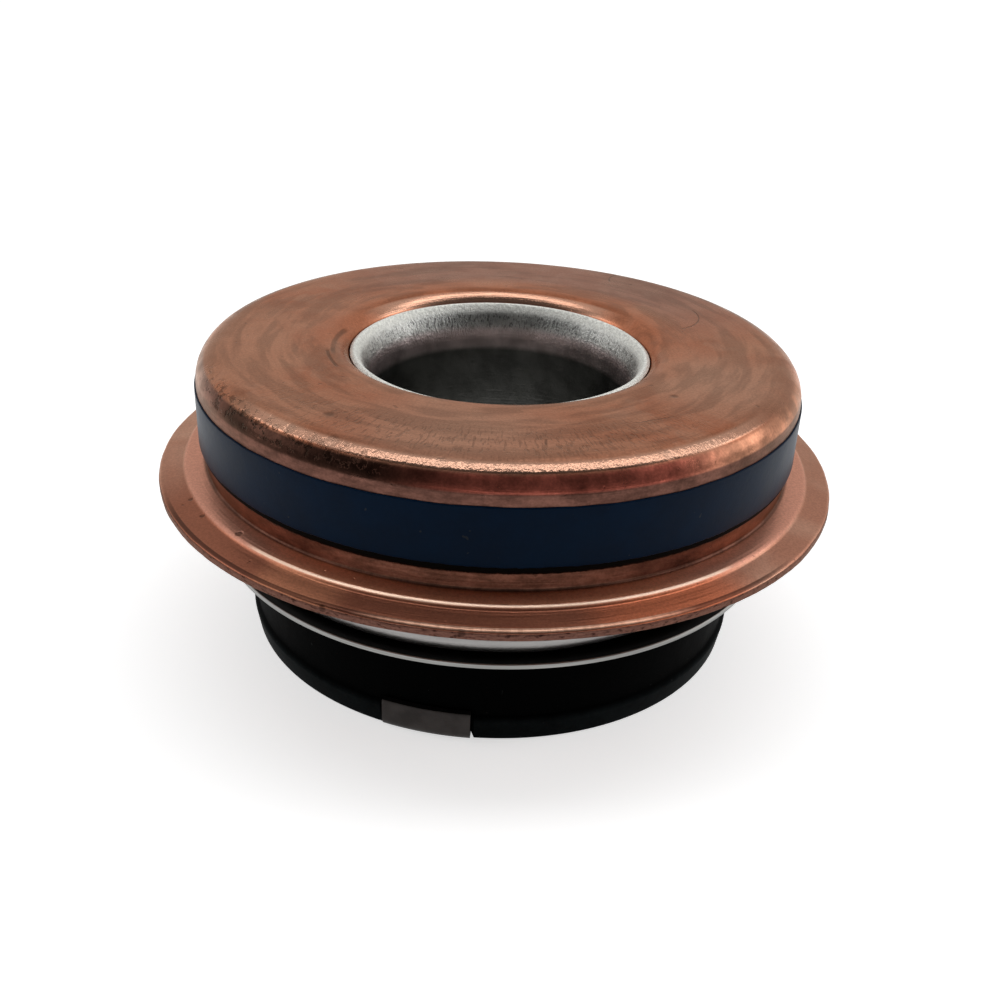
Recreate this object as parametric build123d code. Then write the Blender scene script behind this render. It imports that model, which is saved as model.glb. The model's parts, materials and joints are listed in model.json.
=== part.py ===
from build123d import *
from math import cos, degrees, radians, sin, sqrt
import os

# Unitised mechanical seal for a coolant pump, standing on its rotating half.
# Every round piece turns about Z. Height 0 is the underside of the rotating half,
# which faces the impeller, and the closed end of the casing is on top.

# ---------------------------------------------------------------- driving sizes
# All lengths are in millimetres and all angles in degrees.

# The pump: its shaft, its housing bore and the room along the shaft
shaft_d = 15.92
housing_d = 36.5
overall_height = 18.3

# Casing, drawn from one sheet, measured down from its closed end
casing_sheet = 0.5
casing_corner_r = 1.7
lip_r = 1.4
collar_length = 1.2
relief_depth = 0.25
relief_width = 1.2
press_wall = 5.55
shoulder_width = 1.3
shoulder_drop = 0.15
shoulder_step_width = 0.15
shoulder_step = 0.2
flange_width = 1.45
flange_drop = 0.3
casing_bend_r = 0.15

# Sealant painted round the straight wall, short of both its ends by a land
sealant_thickness = 0.1
sealant_land = 0.2
sealant_edge_r = 0.06

# Shaft sleeve, drawn from one tube, with a flared end and drive tabs
sleeve_sheet = 0.4
sleeve_bend_r = 1.0
flare_bend_r = 4.3
flare_angle = 38.0
flare_hold = 0.08
tab_count = 3
first_tab = -90.0
tab_width = 5.3
tab_height = 1.9
tab_bend_r = 0.6
tab_reach = 2.9

# Mating ring and the rubber cup that it is bedded in
mating_ring_height = 3.5
mating_ring_width = 5.0
face_chamfer = 0.25
cup_floor = 1.2
cup_wall = 1.3
cup_stand = 0.8
cup_bead = 0.25
cup_bead_height = 1.45
cup_sleeve_wall = 0.84
cup_sleeve_height = 2.6
cup_rim_r = 0.3

# Carbon face ring
face_ring_height = 4.4
nose_height = 1.5
nose_inner_step = 0.8
nose_outer_step = 0.5
face_ring_edge_r = 0.3
nose_root_r = 0.2

# Coil spring and the two pressed rings that it works between
wire_d = 1.8
end_coil_angle = 225.0
working_turns = 1.5
spring_turn = -68.0
retainer_sheet = 0.3
retainer_lip = 2.6
retainer_bend_r = 0.7
seat_sheet = 0.4
seat_leg = 1.4
seat_bend_r = 0.8

# Bellows
bellows_flange = 1.2
bellows_wall = 0.9
bellows_fold = 1.3
bellows_fold_height = 1.5

# Edges and inner corners of moulded rubber
rubber_edge_r = 0.2
rubber_root_r = 0.1

# Clearances
seat_gap = 0.06
carbon_gap = 1.44
brim_gap = 0.4
spring_play = 0.75
retainer_play = 0.25
guide_gap = 0.6
end_gap = 0.02
bellows_gap = 0.05
drive_gap = 0.1

# ------------------------------------------------------------- derived positions
bore_r = shaft_d / 2
sleeve_r = bore_r + sleeve_sheet
casing_r = housing_d / 2
casing_inner_r = casing_r - casing_sheet
casing_roof = overall_height - casing_sheet
relief_top = overall_height - press_wall

# The flare catches on the rounded lip of the casing.
flare_top_r = bore_r + flare_bend_r * (1 - cos(radians(flare_angle)))
flare_edge_r = flare_top_r + sleeve_sheet * cos(radians(flare_angle))
collar_r = flare_edge_r - flare_hold
lip_reach = collar_r + lip_r - flare_edge_r - seat_gap
flare_edge_z = overall_height - lip_r + sqrt(lip_r ** 2 - lip_reach ** 2)
flare_top_z = flare_edge_z + sleeve_sheet * sin(radians(flare_angle))
flare_start_z = flare_top_z - flare_bend_r * sin(radians(flare_angle))

# The faces meet at face_z, and both halves are stacked from there.
ring_seat_z = sleeve_sheet + cup_floor
face_z = ring_seat_z + mating_ring_height
cup_top = face_z + cup_stand
mating_bore_r = sleeve_r + cup_sleeve_wall
mating_ring_r = mating_bore_r + mating_ring_width
cup_r = mating_ring_r + cup_wall
bead_r = cup_r + cup_bead
tab_r = bead_r + drive_gap
sleeve_foot_r = tab_r - tab_reach

retainer_bottom = cup_top + brim_gap
retainer_top = retainer_bottom + retainer_sheet
retainer_r = casing_inner_r - retainer_play
spring_outer_r = casing_inner_r - spring_play
spring_r = spring_outer_r - wire_d / 2
retainer_wall_r = spring_outer_r - wire_d - guide_gap
socket_r = retainer_wall_r - retainer_sheet
face_ring_r = socket_r - bellows_wall - 2 * bellows_gap
face_ring_top = face_z + face_ring_height
head_top = face_ring_top + bellows_gap + bellows_wall
retainer_roof = head_top + bellows_gap

bellows_flange_z = casing_roof - bellows_flange
seat_bottom = bellows_flange_z - seat_sheet
seat_leg_r = spring_outer_r - wire_d - guide_gap - 2 * seat_sheet
spring_bottom = retainer_top + end_gap
spring_top = seat_bottom - end_gap


def turned(*corners, angle=360.0):
    """Turn a closed section about Z. Each corner is radius, height and fillet.

    A section turned part of the way is centred on the X axis.
    """
    points = [(radius, height) for radius, height, _ in corners]
    fillets = [fillet for _, _, fillet in corners]
    with BuildPart() as piece:
        with BuildSketch(Plane.XZ):
            with BuildLine():
                FilletPolyline(*points, radius=fillets, close=True)
            make_face()
        revolve(axis=Axis.Z, revolution_arc=angle)
    if angle < 360.0:
        return piece.part.rotate(Axis.Z, -angle / 2)
    return piece.part


def make_casing():
    """Drawn cup: rolled lip, flat closed end, press wall, relief and flange."""
    collar_end = overall_height - lip_r - collar_length
    relief_slope_end = relief_top - relief_depth
    relief_low = relief_top - relief_width
    relief_r = casing_r - relief_depth
    shoulder_r = relief_r + shoulder_width
    shoulder_z = relief_low - shoulder_drop
    foot_r = shoulder_r + shoulder_step_width
    foot_z = shoulder_z - shoulder_step
    edge_r = foot_r + flange_width
    edge_z = foot_z - flange_drop
    inner_bend_r = casing_bend_r + casing_sheet
    return turned(
        (collar_r, collar_end, 0),
        (collar_r, overall_height, lip_r),
        (casing_r, overall_height, casing_corner_r),
        (casing_r, relief_top, 0),
        (relief_r, relief_slope_end, casing_bend_r),
        (relief_r, relief_low, casing_bend_r),
        (shoulder_r, shoulder_z, casing_bend_r),
        (foot_r, foot_z, casing_bend_r),
        (edge_r, edge_z, 0),
        (edge_r, edge_z - casing_sheet, 0),
        (shoulder_r, foot_z - casing_sheet, casing_bend_r),
        (relief_r - casing_sheet, relief_low - casing_sheet, inner_bend_r),
        (relief_r - casing_sheet, relief_slope_end, casing_bend_r),
        (casing_inner_r, relief_top, 0),
        (casing_inner_r, casing_roof, casing_corner_r - casing_sheet),
        (collar_r + casing_sheet, casing_roof, lip_r - casing_sheet),
        (collar_r + casing_sheet, collar_end, 0),
    )


def make_sealant_band():
    """Coat of sealant round the press wall, with soft edges."""
    band_top = overall_height - casing_corner_r - sealant_land
    band_low = relief_top + sealant_land
    band_r = casing_r + sealant_thickness
    return turned(
        (casing_r, band_top, 0),
        (band_r, band_top, sealant_edge_r),
        (band_r, band_low, sealant_edge_r),
        (casing_r, band_low, 0),
    )


def make_shaft_sleeve():
    """Drawn tube: flared top, barrel, foot ring and drive tabs bent up from it."""
    foot_inside_r = sleeve_bend_r - sleeve_sheet
    with BuildPart() as sleeve:
        with BuildSketch(Plane.XZ):
            with BuildLine():
                centre = (bore_r + flare_bend_r, flare_start_z)
                inner_r = flare_bend_r
                outer_r = flare_bend_r - sleeve_sheet
                inner_flare = CenterArc(centre, inner_r, 180, -flare_angle)
                outer_flare = CenterArc(centre, outer_r, 180, -flare_angle)
                Line(inner_flare @ 1, outer_flare @ 1)
                FilletPolyline(
                    outer_flare @ 0,
                    (sleeve_r, sleeve_sheet),
                    (sleeve_foot_r, sleeve_sheet),
                    (sleeve_foot_r, 0),
                    (bore_r, 0),
                    inner_flare @ 0,
                    radius=[foot_inside_r, 0, 0, sleeve_bend_r],
                )
            make_face()
        revolve(axis=Axis.Z)
        tab_inner_r = tab_r - sleeve_sheet
        root_r = sleeve_foot_r - tab_bend_r
        tab = turned(
            (root_r, 0, 0),
            (tab_r, 0, tab_bend_r),
            (tab_r, tab_height, 0),
            (tab_inner_r, tab_height, 0),
            (tab_inner_r, sleeve_sheet, tab_bend_r - sleeve_sheet),
            (root_r, sleeve_sheet, 0),
            angle=degrees(tab_width / tab_r),
        )
        with PolarLocations(0, tab_count, start_angle=first_tab):
            add(tab)
    return sleeve.part


def make_mating_ring():
    """Hard ring whose lapped top face runs against the carbon."""
    return turned(
        (mating_bore_r, ring_seat_z, 0),
        (mating_ring_r, ring_seat_z, 0),
        (mating_ring_r, face_z - face_chamfer, 0),
        (mating_ring_r - face_chamfer, face_z, 0),
        (mating_bore_r, face_z, 0),
    )


def make_mating_ring_cup():
    """Rubber cup round the mating ring, notched for the tabs of the sleeve."""
    rim_r = sleeve_foot_r + drive_gap
    lap_z = ring_seat_z + cup_sleeve_height
    sleeve_corner = sleeve_bend_r - sleeve_sheet
    notch_angle = degrees((tab_width + 2 * drive_gap) / tab_r)
    clear_r = bead_r + drive_gap
    slot_top = sleeve_sheet + drive_gap
    with BuildPart() as cup:
        add(turned(
            (sleeve_r, sleeve_sheet, sleeve_corner),
            (rim_r, sleeve_sheet, 0),
            (rim_r, 0, 0),
            (cup_r, 0, rubber_edge_r),
            (bead_r, cup_bead_height, cup_rim_r),
            (cup_r, cup_bead_height + cup_bead, rubber_edge_r),
            (cup_r, cup_top, cup_rim_r),
            (mating_ring_r, cup_top, rubber_edge_r),
            (mating_ring_r, ring_seat_z, 0),
            (mating_bore_r, ring_seat_z, 0),
            (mating_bore_r, lap_z, rubber_edge_r),
            (sleeve_r, lap_z, 0),
        ))
        notch = turned(
            (tab_r - sleeve_sheet - drive_gap, -drive_gap, 0),
            (clear_r, -drive_gap, 0),
            (clear_r, tab_height + drive_gap, 0),
            (tab_r - sleeve_sheet - drive_gap, tab_height + drive_gap, 0),
            angle=notch_angle,
        )
        slot = turned(
            (rim_r - drive_gap, -drive_gap, 0),
            (clear_r, -drive_gap, 0),
            (clear_r, slot_top, 0),
            (rim_r - drive_gap, slot_top, 0),
            angle=notch_angle,
        )
        with PolarLocations(0, tab_count, start_angle=first_tab):
            add(notch, mode=Mode.SUBTRACT)
            add(slot, mode=Mode.SUBTRACT)
    return cup.part


def make_face_ring():
    """Carbon ring: a shouldered body with a narrow running nose below."""
    nose_z = face_z + nose_height
    ring_bore_r = sleeve_r + carbon_gap
    nose_inner_r = ring_bore_r + nose_inner_step
    nose_outer_r = face_ring_r - nose_outer_step
    return turned(
        (nose_inner_r, face_z, 0),
        (nose_outer_r, face_z, 0),
        (nose_outer_r, nose_z, nose_root_r),
        (face_ring_r, nose_z, face_ring_edge_r),
        (face_ring_r, face_ring_top, face_ring_edge_r),
        (ring_bore_r, face_ring_top, face_ring_edge_r),
        (ring_bore_r, nose_z, nose_root_r),
        (nose_inner_r, nose_z - nose_inner_step, 0),
    )


def make_spring_retainer():
    """Pressed hat round the head of the bellows, with a wide brim for the spring."""
    lip_end_r = retainer_wall_r - retainer_lip
    inner_bend_r = retainer_bend_r - retainer_sheet
    return turned(
        (socket_r, retainer_bottom, retainer_bend_r),
        (retainer_r, retainer_bottom, 0),
        (retainer_r, retainer_top, 0),
        (retainer_wall_r, retainer_top, inner_bend_r),
        (retainer_wall_r, retainer_roof + retainer_sheet, retainer_bend_r),
        (lip_end_r, retainer_roof + retainer_sheet, 0),
        (lip_end_r, retainer_roof, 0),
        (socket_r, retainer_roof, inner_bend_r),
    )


def make_spring_seat():
    """Pressed ring that holds the bellows flange down and centres the spring."""
    seat_r = spring_outer_r + retainer_play
    inner_bend_r = seat_bend_r - seat_sheet
    return turned(
        (seat_leg_r, bellows_flange_z, seat_bend_r),
        (seat_r, bellows_flange_z, 0),
        (seat_r, seat_bottom, 0),
        (seat_leg_r + seat_sheet, seat_bottom, inner_bend_r),
        (seat_leg_r + seat_sheet, seat_bottom - seat_leg, 0),
        (seat_leg_r, seat_bottom - seat_leg, 0),
    )


def make_bellows():
    """Rubber bellows: clamped flange, one fold, and a head over the carbon."""
    flange_r = casing_inner_r - casing_corner_r + casing_sheet - bellows_gap
    flange_bore_r = collar_r + casing_sheet + 2 * bellows_gap
    lip_corner_r = lip_r - casing_sheet + 2 * bellows_gap
    neck_r = seat_leg_r - 2 * bellows_gap - bellows_wall
    fold_r = neck_r - bellows_fold
    mouth_r = retainer_wall_r - retainer_lip - bellows_gap
    tail_r = mouth_r - bellows_wall
    skirt_r = socket_r - bellows_gap
    skirt_low = face_z + nose_height + bellows_wall
    fold_z = (bellows_flange_z + head_top) / 2
    fold_high = fold_z + bellows_fold_height / 2
    fold_low = fold_z - bellows_fold_height / 2
    bend_r = bellows_wall / 2
    return turned(
        (flange_bore_r, casing_roof, lip_corner_r),
        (flange_r, casing_roof, rubber_edge_r),
        (flange_r, bellows_flange_z, rubber_edge_r),
        (neck_r + bellows_wall, bellows_flange_z, bend_r),
        (neck_r + bellows_wall, fold_high, bend_r),
        (fold_r + bellows_wall, fold_high - bellows_wall, bend_r),
        (fold_r + bellows_wall, fold_low - bend_r, bend_r),
        (mouth_r, head_top + bend_r, rubber_root_r),
        (mouth_r, head_top, rubber_root_r),
        (skirt_r, head_top, bend_r),
        (skirt_r, skirt_low, rubber_edge_r),
        (skirt_r - bellows_wall, skirt_low, rubber_edge_r),
        (skirt_r - bellows_wall, face_ring_top + bellows_gap, rubber_root_r),
        (tail_r, face_ring_top + bellows_gap, rubber_edge_r),
        (fold_r, fold_low - bend_r, bend_r),
        (fold_r, fold_high - bend_r, bend_r),
        (neck_r, fold_high + bend_r, bend_r),
        (neck_r, bellows_flange_z, rubber_edge_r),
        (flange_bore_r, bellows_flange_z, rubber_root_r),
    )


def make_coil_spring():
    """Round wire: a flat end coil, working turns and a second flat end coil."""
    wire_r = wire_d / 2
    low_z = spring_bottom + wire_r
    rise = spring_top - wire_r - low_z
    pitch = rise / working_turns
    working_angle = 360.0 * working_turns
    with BuildLine() as centre_line:
        low_coil = CenterArc((0, 0, low_z), spring_r, -end_coil_angle, end_coil_angle)
        Helix(pitch, rise, spring_r, center=(0, 0, low_z))
        CenterArc((0, 0, low_z + rise), spring_r, working_angle, end_coil_angle)
    with BuildPart() as spring:
        with BuildSketch(Plane(low_coil @ 0, z_dir=low_coil % 0)):
            Circle(wire_r)
        sweep(path=centre_line.wire(), is_frenet=True)
    return spring.part.rotate(Axis.Z, spring_turn)


pieces = {
    "casing": make_casing,
    "sealant_band": make_sealant_band,
    "shaft_sleeve": make_shaft_sleeve,
    "mating_ring": make_mating_ring,
    "mating_ring_cup": make_mating_ring_cup,
    "face_ring": make_face_ring,
    "spring_retainer": make_spring_retainer,
    "spring_seat": make_spring_seat,
    "bellows": make_bellows,
    "coil_spring": make_coil_spring,
}

os.makedirs("parts", exist_ok=True)
for node, make in pieces.items():
    piece = make()
    piece.label = node
    export_step(piece, f"parts/{node}.step")
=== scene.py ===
import bmesh
import bpy
import json
from math import atan2, ceil, cos, pi, radians, sin, tan
from mathutils import Matrix, Quaternion, Vector, noise


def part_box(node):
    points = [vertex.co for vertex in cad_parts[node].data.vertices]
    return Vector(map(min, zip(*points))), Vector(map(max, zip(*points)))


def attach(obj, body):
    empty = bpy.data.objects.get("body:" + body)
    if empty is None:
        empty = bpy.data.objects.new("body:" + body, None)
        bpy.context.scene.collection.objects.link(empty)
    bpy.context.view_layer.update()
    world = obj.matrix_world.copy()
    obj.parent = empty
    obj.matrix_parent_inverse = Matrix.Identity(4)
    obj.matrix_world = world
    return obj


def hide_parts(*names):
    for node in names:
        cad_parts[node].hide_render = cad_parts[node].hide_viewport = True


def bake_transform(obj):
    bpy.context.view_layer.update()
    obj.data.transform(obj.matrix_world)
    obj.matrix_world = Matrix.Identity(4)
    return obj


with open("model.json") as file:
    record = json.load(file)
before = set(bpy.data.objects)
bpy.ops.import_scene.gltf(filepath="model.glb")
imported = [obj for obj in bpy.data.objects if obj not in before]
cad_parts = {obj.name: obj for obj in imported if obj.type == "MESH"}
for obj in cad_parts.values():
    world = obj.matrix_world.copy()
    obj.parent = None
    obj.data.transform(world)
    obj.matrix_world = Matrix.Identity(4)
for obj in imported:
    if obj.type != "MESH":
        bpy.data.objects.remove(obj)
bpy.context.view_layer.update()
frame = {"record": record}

# Lengths are in millimetres until a finished piece is scaled by MM.
MM = 0.001

# ------------------------------------------------------------ sizes from the frame


def reach(node):
    """Outer radius, lowest height and highest height of a round CAD node."""
    low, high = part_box(node)
    return max(high.x, -low.y) / MM, low.z / MM, high.z / MM


def mount_size(name, key):
    """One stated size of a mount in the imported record."""
    found = [mount for mount in frame["record"]["mounts"] if mount["name"] == name]
    return found[0]["dims"][key]


flange_r, flange_low, casing_top = reach("casing")
band_r, band_low, band_top = reach("sealant_band")
tab_r, _, flare_top = reach("shaft_sleeve")
bead_r, _, cup_top = reach("mating_ring_cup")
mating_ring_r, ring_seat, running_face = reach("mating_ring")
face_ring_r, nose_low, face_ring_top = reach("face_ring")
brim_r, brim_low, hat_top = reach("spring_retainer")
seat_r, seat_leg_low, clamp_z = reach("spring_seat")
spring_r, spring_low, spring_top = reach("coil_spring")
bellows_r, skirt_low, bellows_top = reach("bellows")
bore_r = mount_size("shaft_bore", "r_mm")

# Casing sheet, its bends and edges, and the sealant round it
casing_sheet = 0.5
casing_corner_r = 1.7
lip_r = 1.4
collar_length = 1.2
sealant_thickness = 0.1
sealant_land = 0.2
relief_depth = 0.25
relief_width = 1.2
shoulder_width = 1.3
shoulder_drop = 0.15
shoulder_step_width = 0.15
shoulder_step = 0.2
casing_bend_r = 0.15
shoulder_crest_r = 0.4
cut_edge_r = 0.06
sheared_edge_r = 0.28
edge_wobble = 0.06
edge_ripple = 0.03
ragged_edge = 0.07

# How fast the noise that moves an edge changes round the seal
sway_rate = 9
ripple_rate = 40
run_rate = 12
ragged_rate = 70

# Shaft sleeve
sleeve_sheet = 0.4
sleeve_bend_r = 1.0
flare_bend_r = 4.3
flare_angle = radians(38.0)
flare_hold = 0.08
flare_edge_r = 0.17
tab_width = 5.3
tab_height = 1.9
tab_bend_r = 0.6
tab_reach = 2.9
tab_count = 3
first_tab = radians(-90.0)
tab_bend_steps = 6
tab_edge_r = 0.1
flare_steps = 10

# Moulded, pressed and coiled pieces
cup_bead = 0.25
cup_bead_height = 1.45
cup_rim_r = 0.3
cup_sleeve_wall = 0.84
cup_sleeve_height = 2.6
drive_gap = 0.1
face_chamfer = 0.25
carbon_gap = 1.44
nose_height = 1.5
nose_inner_step = 0.8
nose_outer_step = 0.5
retainer_sheet = 0.3
retainer_lip = 2.6
retainer_bend_r = 0.7
seat_sheet = 0.4
seat_bend_r = 0.8
guide_gap = 0.6
bellows_gap = 0.05
bellows_wall = 0.9
bellows_fold = 1.3
bellows_fold_height = 1.5
rubber_edge_r = 0.2
rubber_root_r = 0.1
wire_d = 1.8
end_coil_angle = radians(225.0)
working_angle = radians(540.0)
coil_step = radians(3.0)
spring_turn = radians(-68.0)

# Places worked out from the values above
casing_r = band_r - sealant_thickness
casing_inner_r = casing_r - casing_sheet
casing_roof = casing_top - casing_sheet
corner_start_r = casing_r - casing_corner_r
relief_top = band_low - sealant_land
relief_low = relief_top - relief_width
relief_r = casing_r - relief_depth
shoulder_r = relief_r + shoulder_width
edge_z = flange_low + casing_sheet
sleeve_r = bore_r + sleeve_sheet
flare_top_r = bore_r + flare_bend_r * (1 - cos(flare_angle))
collar_r = flare_top_r + sleeve_sheet * cos(flare_angle) - flare_hold
flare_start = flare_top - flare_bend_r * sin(flare_angle)
cup_r = bead_r - cup_bead
mating_bore_r = sleeve_r + cup_sleeve_wall
sleeve_foot_r = tab_r - tab_reach
retainer_wall_r = spring_r - wire_d - guide_gap
socket_r = retainer_wall_r - retainer_sheet
seat_leg_r = retainer_wall_r - 2 * seat_sheet

# Colours of the finishes
plate_red = (0.33, 0.11, 0.055)
plate_tan = (0.39, 0.175, 0.105)
plate_grey = (0.4, 0.21, 0.14)
plate_back = (0.27, 0.13, 0.098)
plate_orange = (0.42, 0.15, 0.078)
# Painted highlight colours: the crest's, and that of the corner, the lip and the brow
polished_highlight_copper = (0.96, 0.68, 0.52)
highlight_copper = (0.7, 0.42, 0.3)
# Painted shade and dark reflection down the copper's side: front, back, left, strip and wall
corner_front_shade = (0.4, 0.105, 0.072)
corner_back_shade = (0.24, 0.155, 0.13)
corner_left_shade = (0.045, 0.02, 0.014)
strip_shade = (0.12, 0.055, 0.041)
wall_front_shade = (0.22, 0.1, 0.067)
wall_shade = (0.1, 0.042, 0.029)
# Painted reflection on the shoulder's ledge in front, and painted light on it at the sides
shoulder_front_reflection = (0.98, 0.38, 0.22)
shoulder_side_light = (0.62, 0.29, 0.205)
flange_red = (0.42, 0.19, 0.125)
flange_tan = (0.52, 0.29, 0.205)
# Painted shade on the flange in front, and two patches of painted reflection on it
flange_front_shade = (0.3, 0.108, 0.064)
flange_orange_reflection = (0.6, 0.18, 0.09)
flange_amber_reflection = (0.58, 0.235, 0.13)
edge_dark = (0.05, 0.02, 0.015)
edge_pink = (0.17, 0.08, 0.06)
# Near black: dried sealant, which also stands in for the groove's painted shadow
dried_sealant = (0.004, 0.0035, 0.003)
sealant_dark = (0.0003, 0.0085, 0.026)
sealant_blue = (0.0006, 0.0115, 0.034)
speck_grey = (0.04, 0.04, 0.04)
flare_steel = (0.6, 0.6, 0.575)
# Painted highlight round the flare's rim
rim_highlight_steel = (0.95, 0.95, 0.9)
throat_steel = (0.72, 0.6, 0.585)
# Painted shade inside the bore
bore_shade_steel = (0.18, 0.18, 0.17)
tab_steel = (0.045, 0.04, 0.038)
sheet_steel = (0.12, 0.12, 0.118)
# Painted shade on the spring hat's brim
brim_shade_steel = (0.02, 0.02, 0.02)
edge_steel = (0.3, 0.3, 0.29)
wire_dark = (0.25, 0.24, 0.235)
wire_light = (0.4, 0.39, 0.38)
rubber_black = (0.0004, 0.0005, 0.0005)
rubber_grey = (0.007, 0.009, 0.0095)
talc_grey = (0.012, 0.012, 0.012)
carbon_black = (0.01, 0.01, 0.011)
carbon_grey = (0.02, 0.02, 0.022)
ceramic_dark = (0.035, 0.034, 0.036)
ceramic_light = (0.07, 0.068, 0.07)

# Height below which the copper's side is painted dark, as shade and dark reflection, and radius
# inside which the lip has a painted highlight
corner_low = casing_top - 0.37
lip_highlight_r = 9.8

# Marks on the closed end, in X and Y. A scratch is its middle, the centre of its bend,
# its width and its reach. A spot is its middle, its size and its soft edge.
end_scratches = [
    ((-9.5, -3.2), (0.2, -1.3), 0.2, 2.8),
    ((-8.6, -6.4), (-0.6, -1.3), 0.15, 1.6),
    ((4.5, 15.1), (6.3, 14.9), 0.08, 1.1),
    ((11.4, 7.6), (8.35, 7.9), 0.07, 2.4),
    ((10.4, -9.45), (-32.4, 46.7), 0.07, 1.3),
    ((5.57, -13.9), (9.0, -13.2), 0.1, 0.4),
]
end_spots = [
    (-5.8, -14.0, 0.1, 0.35),
    (11.17, -5.79, 0.08, 0.25),
]
handled_spots = [
    (1.0, -14.0, 1.0, 8.0),
    (14.0, -3.0, 0.5, 7.0),
]

# Nicks on the corner, the lip, the shoulder and the flange: angle, radius, height and size
nicks = [
    (-126.4, 17.7, 17.85, 0.14),
    (-121.8, 17.7, 17.85, 0.12),
    (-114.6, 17.4, 18.1, 0.2),
    (-105.9, 17.3, 18.1, 0.26),
    (-86.6, 17.3, 18.1, 0.2),
    (-48.0, 17.4, 18.05, 0.2),
    (49.6, 9.35, 18.0, 0.12),
    (104.4, 9.2, 17.9, 0.1),
    (-139.9, 19.5, 11.18, 0.1),
    (-133.5, 19.5, 11.18, 0.1),
    (-123.5, 18.95, 11.43, 0.14),
    (-101.0, 20.85, 10.75, 0.12),
    (-81.2, 20.85, 10.75, 0.12),
]

# Middle range of a noise
noise_low = 0.3
noise_high = 0.7

# Levels of light: of the room, of its dark front, and that the floor gives off by itself
# near the seal and far from it
room_light = 0.68
front_light = 0.1
floor_lift_near = 0.61
floor_lift_far = 0.72
lift_near_r = 30.0
lift_far_r = 400.0

# Way to the dark front, and how squarely a ray goes there where it starts and is full
dark_way = (0.19, -0.885, 0.42)
dark_start = 0.1
dark_full = 0.7

# Half the width of the floor, in metres
floor_half_width = 3.0

# Mesh density
wedge_steps = 15
doublings = 5
around = wedge_steps * 2**doublings
weld_distance = 0.002
arc_step = radians(10.0)
wire_sides = 32
sharp_angle = radians(38.0)

# Longest edge in a section
casing_longest = 0.38
band_longest = 0.5
bellows_longest = 0.6

# ------------------------------------------------------------------ mesh helpers


def round_corner(bm, vert, fillet):
    """Round one corner of a flat section to a radius."""
    before, after = [edge.other_vert(vert).co - vert.co for edge in vert.link_edges]
    opening = before.angle(after)
    bmesh.ops.bevel(
        bm,
        geom=[vert],
        offset=fillet / tan(opening / 2),
        offset_type="OFFSET",
        segments=max(2, ceil((pi - opening) / arc_step)),
        profile=0.5,
        affect="VERTICES",
        material=-1,
    )


def section(corners, longest):
    """Outline of a turned piece in the XZ plane. Each corner is radius, height and fillet.

    An edge over the longest length is cut into shorter ones, if one is given.
    """
    bm = bmesh.new()
    verts = [bm.verts.new((radius, 0, height)) for radius, height, _ in corners]
    bm.faces.new(verts)
    for vert, (_, _, fillet) in zip(verts, corners):
        if fillet:
            round_corner(bm, vert, fillet)
    if longest:
        for edge in bm.edges[:]:
            cuts = ceil(edge.calc_length() / longest) - 1
            if cuts:
                bmesh.ops.subdivide_edges(bm, edges=[edge], cuts=cuts)
    bmesh.ops.delete(bm, geom=bm.faces[:], context="FACES_ONLY")
    return bm


def turned(corners, longest=None):
    """Turn a section all the way round Z, as one wedge that is copied round until it closes.

    A face lies across each of the X and Y axes.
    """
    bm = section(corners, longest)
    wedge = 2 * pi / 2**doublings
    half_step = Matrix.Rotation(wedge / wedge_steps / 2, 3, "Z")
    bmesh.ops.rotate(bm, cent=(0, 0, 0), matrix=half_step, verts=bm.verts[:])
    bmesh.ops.spin(
        bm,
        geom=bm.verts[:] + bm.edges[:],
        cent=(0, 0, 0),
        axis=(0, 0, 1),
        dvec=(0, 0, 0),
        angle=wedge,
        steps=wedge_steps,
    )
    for doubling in range(doublings):
        copied = bmesh.ops.duplicate(bm, geom=bm.verts[:] + bm.edges[:] + bm.faces[:])
        verts = [part for part in copied["geom"] if isinstance(part, bmesh.types.BMVert)]
        turn = Matrix.Rotation(wedge * 2**doubling, 3, "Z")
        bmesh.ops.rotate(bm, cent=(0, 0, 0), matrix=turn, verts=verts)
    bmesh.ops.remove_doubles(bm, verts=bm.verts[:], dist=weld_distance)
    bmesh.ops.recalc_face_normals(bm, faces=bm.faces[:])
    return bm


def share_of_noise(direction, rate, height):
    """Smooth noise round the axis, between 0 and 1."""
    return 0.5 + 0.5 * noise.noise((direction.x * rate, direction.y * rate, height))


def put(name, data):
    """Make an object and put it in the scene, at the origin."""
    obj = bpy.data.objects.new(name, data)
    bpy.context.scene.collection.objects.link(obj)
    return obj


def put_mesh(name, bm):
    mesh = bpy.data.meshes.new(name)
    bm.to_mesh(mesh)
    bm.free()
    return put(name, mesh)


def piece(name, bm, finish, node, body=None):
    """Make the object of a finished mesh, which stands for its CAD node and rides on its body."""
    bmesh.ops.scale(bm, vec=(MM, MM, MM), verts=bm.verts[:])
    for face in bm.faces:
        face.smooth = True
    for edge in bm.edges:
        if edge.is_manifold and edge.calc_face_angle() > sharp_angle:
            edge.smooth = False
    obj = put_mesh(name, bm)
    obj.data.materials.append(finish)
    if body:
        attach(obj, body)
    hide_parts(node)
    return obj


# ------------------------------------------------------------------------ pieces


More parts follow.
